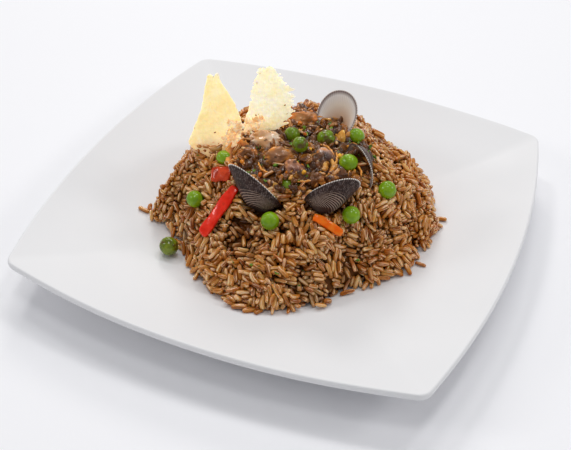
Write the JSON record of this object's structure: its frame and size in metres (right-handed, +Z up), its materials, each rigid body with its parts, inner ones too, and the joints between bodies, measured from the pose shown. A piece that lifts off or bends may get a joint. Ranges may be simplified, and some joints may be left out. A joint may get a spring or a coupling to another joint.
{
  "type": "plate of rice with black clams",
  "caption": "Square coupe plate with a heap of dark rice, saucy clam topping, half shells, peas, pepper strips and crisp wafers.",
  "frame": {"origin": "on the table, under the centre of the plate", "axes": "+Z up, +X, -X, +Y and -Y towards the middles of the plate's four sides; the front side, nearest the diner, faces -Y"},
  "size_m": [0.2628, 0.2628, 0.1023],
  "materials": {
    "ceramic": "glossy white glaze",
    "rice": "moist cooked rice, brown, half gloss",
    "ragout": "wet dark brown sauce with chopped onion and pepper",
    "shell": "ribbed dark grey-brown shell, pale pearly inside",
    "pea": "smooth, moist, glossy green",
    "red_pepper": "smooth, moist, glossy red",
    "orange_pepper": "smooth, moist, glossy orange",
    "clam_meat": "wet pinkish brown meat with orange edges",
    "wafer": "dry, baked, pale gold, slightly oily"
  },
  "bodies": {
    "root": {"plate": "ceramic", "rice_heap": "rice", "clam_ragout": "ragout", "shell_left": "shell", "shell_right": "shell", "shell_back": "shell", "shell_side": "shell", "pea_01": "pea", "pea_02": "pea", "pea_03": "pea", "pea_04": "pea", "pea_05": "pea", "pea_06": "pea", "pea_07": "pea", "pea_08": "pea", "pea_09": "pea", "pea_10": "pea", "pea_11": "pea", "pea_12": "pea", "pepper_strip_red": "red_pepper", "pepper_square_red": "red_pepper", "pepper_strip_orange": "orange_pepper", "clam_meat_pale": "clam_meat", "clam_meat_open": "clam_meat", "clam_meat_rear": "clam_meat", "clam_meat_shiny": "clam_meat", "clam_meat_amber": "clam_meat", "clam_meat_front": "clam_meat", "clam_meat_low": "clam_meat", "wafer_left": "wafer", "wafer_right": "wafer"}
  },
  "joints": []
}
